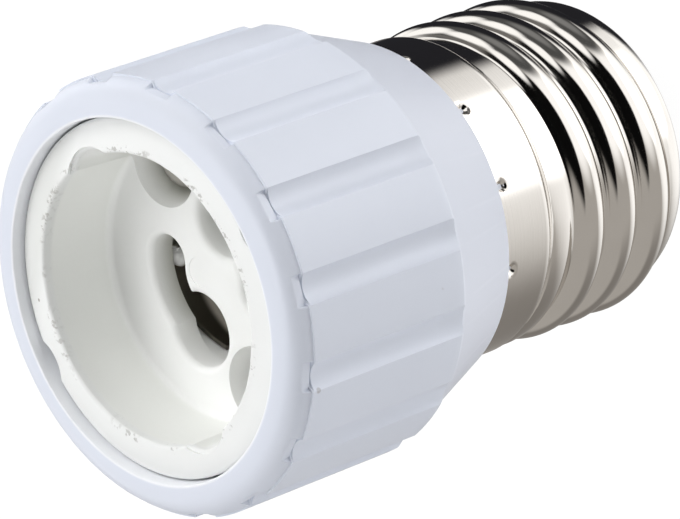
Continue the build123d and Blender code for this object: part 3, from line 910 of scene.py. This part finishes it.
# %% Cap finish
sheet_thickness = 0.3
nickel = new_tree("nickel")
place = object_place(nickel)
up_axis = place.add("ShaderNodeSeparateXYZ", sockets={"Vector": place}, out="Z")
lines = place.add(
    "ShaderNodeTexNoise", {"noise_dimensions": "1D"}, {"W": up_axis, "Scale": 9000, "Detail": 2}, out="Fac"
)
smear = cloud(place, 350)
finish(
    nickel,
    {
        "Base Color": smear.mix((0.72, 0.69, 0.65, 1), (0.80, 0.77, 0.73, 1)),
        "Metallic": 1.0,
        "Roughness": 0.06 + 0.06 * smear,
        "Normal": bumped(lines, 0.000004, 0.3),
    },
)
cap = dress("rolled_cap", bm, nickel, "screw_cap", 50)
sheet = cap.modifiers.new("sheet", "SOLIDIFY")
sheet.thickness = sheet_thickness * MM
sheet.offset = -1

# %% [markdown]
# Behind each keyhole a spring strip grips the pin of the lamp: a leaf that follows the wall of the chamber
# and ends in a tight roll. The leaf is a rounded strip section spun about the axis, and spun again about
# the roll. Its top edge dips at the entry, which a few points moved down will do.

# %% Spring leaf
leaf_in, leaf_out, leaf_low, leaf_top, leaf_soft, leaf_sweep = 7.6, 8.0, 36.0, 41.9, 0.15, 65
leaf_dip, dip_sweep, roll_radius, roll_turn = 0.8, 30, 0.7, 120
strip = [(leaf_in, leaf_low, 0), (leaf_out, leaf_low, 0)]
strip += [(leaf_out, leaf_top, leaf_soft), (leaf_in, leaf_top, leaf_soft)]
bm = bmesh.new()
draw_profile(bm, strip, closed=True)
bmesh.ops.contextual_create(bm, geom=bm.edges[:])
leaf = spin_upright(bm, whole(bm), -leaf_sweep, 40)
for vert in bm.verts:
    if vert.co.z > leaf_top - 0.5:
        vert.co.z -= leaf_dip * eased(1 + degrees(atan2(vert.co.y, vert.co.x)) / dip_sweep, 0.3)
roll_at = polar((leaf_in + leaf_out) / 2 - roll_radius, -leaf_sweep)
spin_upright(bm, leaf["geom_last"], -roll_turn, 20, (*roll_at, 0))
weld(bm)
print("leaf faces:", len(bm.faces), "open edges:", sum(edge.is_boundary for edge in bm.edges))

# %% [markdown]
# The rest of the clip is a flat pad below the entry, a domed tip that closes the roll, and a tail that
# takes the solder.

# %% Spring pad, tip and tail
pad_radius, pad_thickness, pad_soft = 3.0, 0.4, 0.06
tip_low, tip_edge, tip_top = leaf_top - 0.5, leaf_top - 0.05, leaf_top + 0.3
tip_radius, tip_shoulder, tip_soft = 0.88, 0.75, 0.3
tail_size, tail_place = (0.4, 1.6, 5.0), (7.65, 0, leaf_low - 2.1)
pad_center = (pin_radius, 0)
join(bm, cylinder(pad_radius, leaf_low, leaf_low + pad_thickness, 64, pad_center, pad_soft, pad_soft))
tip_corners = [(0, tip_low, 0), (tip_radius, tip_low, 0)]
tip_corners += [(tip_shoulder, tip_edge, tip_soft), (0, tip_top, 0)]
join(bm, spun_solid(tip_corners, 64, roll_at))
tail = bmesh.ops.create_cube(bm, size=1)["verts"]
bmesh.ops.scale(bm, vec=tail_size, verts=tail)
bmesh.ops.translate(bm, vec=tail_place, verts=tail)
print("clip faces:", len(bm.faces))

# %% [markdown]
# The strip is plated and dull. The upper part of the leaf is painted nearly black, as painted shade, with a
# thin painted highlight left along its top edge, and the domed tip is painted pale, as a painted glint. The
# second clip is the first one turned by half a turn, so the mask of the tip takes the places along X and Y
# without their sign and finds both tips.

# %% Spring finish
spring = new_tree("spring_strip")
place = object_place(spring)
_, height, x, y = axial(place)
tone = cloud(place, 400)
x, y = x.maths("ABSOLUTE", x) - abs(roll_at[0]), y.maths("ABSOLUTE", y) - abs(roll_at[1])
# Painted glint: the domed tip is made pale and less metallic.
tip_painted_glint = (1 - ((x * x + y * y) ** 0.5).rise(0.8, 0.95)) * height.rise(41.2, 41.4)
# Painted shade: the upper leaf is made nearly black, less so along a thin band at its top edge, which is a
# painted highlight.
leaf_painted_shade = height.rise(39.4, 40.2) * (1 - 0.6 * height.rise(41.7, 41.85)) * (1 - tip_painted_glint)
strip_tone = tone.mix((0.74, 0.70, 0.63, 1), (0.88, 0.84, 0.76, 1))
strip_tone = (leaf_painted_shade * 0.95).mix(strip_tone, (0.09, 0.08, 0.06, 1))
finish(
    spring,
    {
        "Base Color": tip_painted_glint.mix(strip_tone, (0.96, 0.96, 0.95, 1)),
        "Roughness": 0.24 + 0.12 * tone,
        "Metallic": 0.45 + 0.45 * leaf_painted_shade - 0.4 * tip_painted_glint,
        "Normal": bumped(cloud(place, 6000, 2), 0.00002, 0.2),
    },
)
turned = bm.copy()
turn_upright(turned, 180)
dress("live_spring", bm, spring, "live_contact_clip")
dress("neutral_spring", turned, spring, "neutral_contact_clip")

# %% [markdown]
# The small pieces inside keep the shapes of the packed part. The centre contact is plated as the cap is. The
# others get their finishes from one recipe: two tones that drift into each other, a roughness that follows
# them, and a fine grain.

# %% Small pieces
def plain_finish(name, light, dark, roughness, metallic=0.0):
    material = new_tree(name)
    place = object_place(material)
    tone = cloud(place, 400)
    sockets = {
        "Base Color": tone.mix((*dark, 1), (*light, 1)),
        "Roughness": roughness + 0.12 * tone,
        "Metallic": metallic,
        "Normal": bumped(cloud(place, 6000, 2), 0.00002, 0.2),
    }
    finish(material, sockets)
    return material


copper = plain_finish("bare_copper", (0.75, 0.42, 0.28), (0.62, 0.33, 0.21), 0.28, 1.0)
node_finish = {
    "backing_plate": plain_finish("insulating_board", (0.13, 0.11, 0.085), (0.09, 0.075, 0.06), 0.55),
    "fixing_screws": plain_finish("screw_steel", (0.60, 0.58, 0.55), (0.48, 0.46, 0.43), 0.26, 1.0),
    "cap_insulator": plain_finish("insulator_black", (0.030, 0.030, 0.032), (0.018, 0.018, 0.020), 0.2),
    "centre_contact": nickel,
    "live_lead_core": copper,
    "neutral_lead_core": copper,
    "live_lead_jacket": plain_finish("live_jacket", (0.28, 0.13, 0.07), (0.22, 0.10, 0.05), 0.45),
    "neutral_lead_jacket": plain_finish("neutral_jacket", (0.06, 0.16, 0.42), (0.05, 0.12, 0.34), 0.45),
    "solder_joints": plain_finish("solder_tin", (0.68, 0.68, 0.68), (0.55, 0.55, 0.56), 0.3, 1.0),
}
for name, material in node_finish.items():
    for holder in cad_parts[name].material_slots:
        holder.material = material
print("finished nodes:", len(node_finish))
